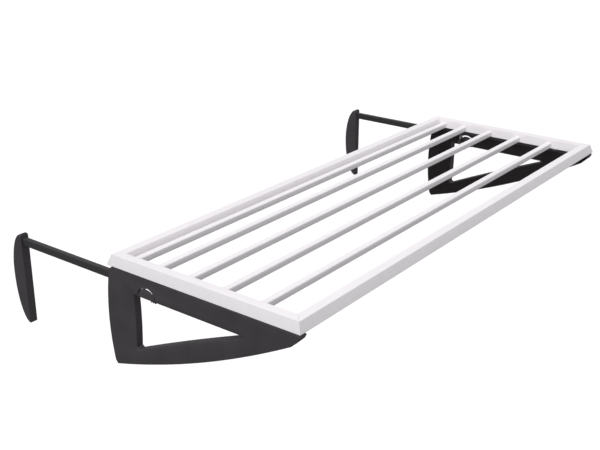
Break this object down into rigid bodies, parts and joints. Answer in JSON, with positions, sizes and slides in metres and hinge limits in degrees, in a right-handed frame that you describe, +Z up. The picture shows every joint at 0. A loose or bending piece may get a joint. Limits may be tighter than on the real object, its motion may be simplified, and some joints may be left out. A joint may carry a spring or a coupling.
{
  "type": "hook-on drying rack",
  "caption": "White barred drying frame on two folding triangular brackets with sliding hook arms that clamp over a railing, wall top or radiator.",
  "frame": {"origin": "midway between the two brackets, in the plane of their rear edges, level with the arms' undersides, where the rack sits on a railing", "axes": "+X along the rack, +Y from the rack towards the hooks, +Z up"},
  "size_m": [1.0128, 0.6229, 0.1918],
  "materials": {
    "white_coat": "white powder coat, satin",
    "charcoal_plastic": "fine moulded grain",
    "black_coat": "black coat, satin",
    "grey_nylon": "as moulded",
    "bright_steel": "zinc plated"
  },
  "bodies": {
    "frame": {"rear_rail": "white_coat", "front_rail": "white_coat", "left_rail": "white_coat", "right_rail": "white_coat", "drying_bar_1": "white_coat", "drying_bar_2": "white_coat", "drying_bar_3": "white_coat", "drying_bar_4": "white_coat", "drying_bar_5": "white_coat", "left_rear_corner_key": "grey_nylon", "left_rear_hinge_lug": "grey_nylon", "left_front_corner_key": "grey_nylon", "left_front_hinge_lug": "grey_nylon", "right_rear_corner_key": "grey_nylon", "right_rear_hinge_lug": "grey_nylon", "right_front_corner_key": "grey_nylon", "right_front_hinge_lug": "grey_nylon"},
    "left_bracket": {"left_bracket_shell": "charcoal_plastic", "left_bracket_cover": "charcoal_plastic", "left_fold_rod": "bright_steel", "left_cover_screw_1": "bright_steel", "left_cover_screw_2": "bright_steel", "left_cover_screw_3": "bright_steel", "left_cover_screw_4": "bright_steel", "left_lever_pin": "bright_steel", "left_lever_spring": "bright_steel"},
    "left_sliding_arm": {"left_arm": "black_coat", "left_arm_plug": "grey_nylon", "left_hook": "charcoal_plastic"},
    "left_lever": {"left_release_lever": "charcoal_plastic"},
    "right_bracket": {"right_bracket_shell": "charcoal_plastic", "right_bracket_cover": "charcoal_plastic", "right_fold_rod": "bright_steel", "right_cover_screw_1": "bright_steel", "right_cover_screw_2": "bright_steel", "right_cover_screw_3": "bright_steel", "right_cover_screw_4": "bright_steel", "right_lever_pin": "bright_steel", "right_lever_spring": "bright_steel"},
    "right_sliding_arm": {"right_arm": "black_coat", "right_arm_plug": "grey_nylon", "right_hook": "charcoal_plastic"},
    "right_lever": {"right_release_lever": "charcoal_plastic"}
  },
  "joints": [
    {"name": "left_bracket_fold", "type": "hinge", "parent": "frame", "child": "left_bracket", "pos_m": [-0.494, -0.168, 0.0192], "axis": [0, -1, 0], "range_deg": [0, 90]},
    {"name": "left_arm_slide", "type": "slide", "parent": "left_bracket", "child": "left_sliding_arm", "axis": [0, 1, 0], "range_m": [-0.196, 0.03]},
    {"name": "left_lever_press", "type": "hinge", "parent": "left_bracket", "child": "left_lever", "pos_m": [-0.4982, -0.0665, -0.0045], "axis": [-1, 0, 0], "range_deg": [0, 4], "stiffness_Nm_per_rad": 0.6, "springref_deg": -6.88, "deforming": ["left_lever_spring"]},
    {"name": "right_bracket_fold", "type": "hinge", "parent": "frame", "child": "right_bracket", "pos_m": [0.494, -0.168, 0.0192], "axis": [0, 1, 0], "range_deg": [0, 90]},
    {"name": "right_arm_slide", "type": "slide", "parent": "right_bracket", "child": "right_sliding_arm", "axis": [0, 1, 0], "range_m": [-0.196, 0.03]},
    {"name": "right_lever_press", "type": "hinge", "parent": "right_bracket", "child": "right_lever", "pos_m": [0.4982, -0.0665, -0.0045], "axis": [-1, 0, 0], "range_deg": [0, 4], "stiffness_Nm_per_rad": 0.6, "springref_deg": -6.88, "deforming": ["right_lever_spring"]}
  ]
}
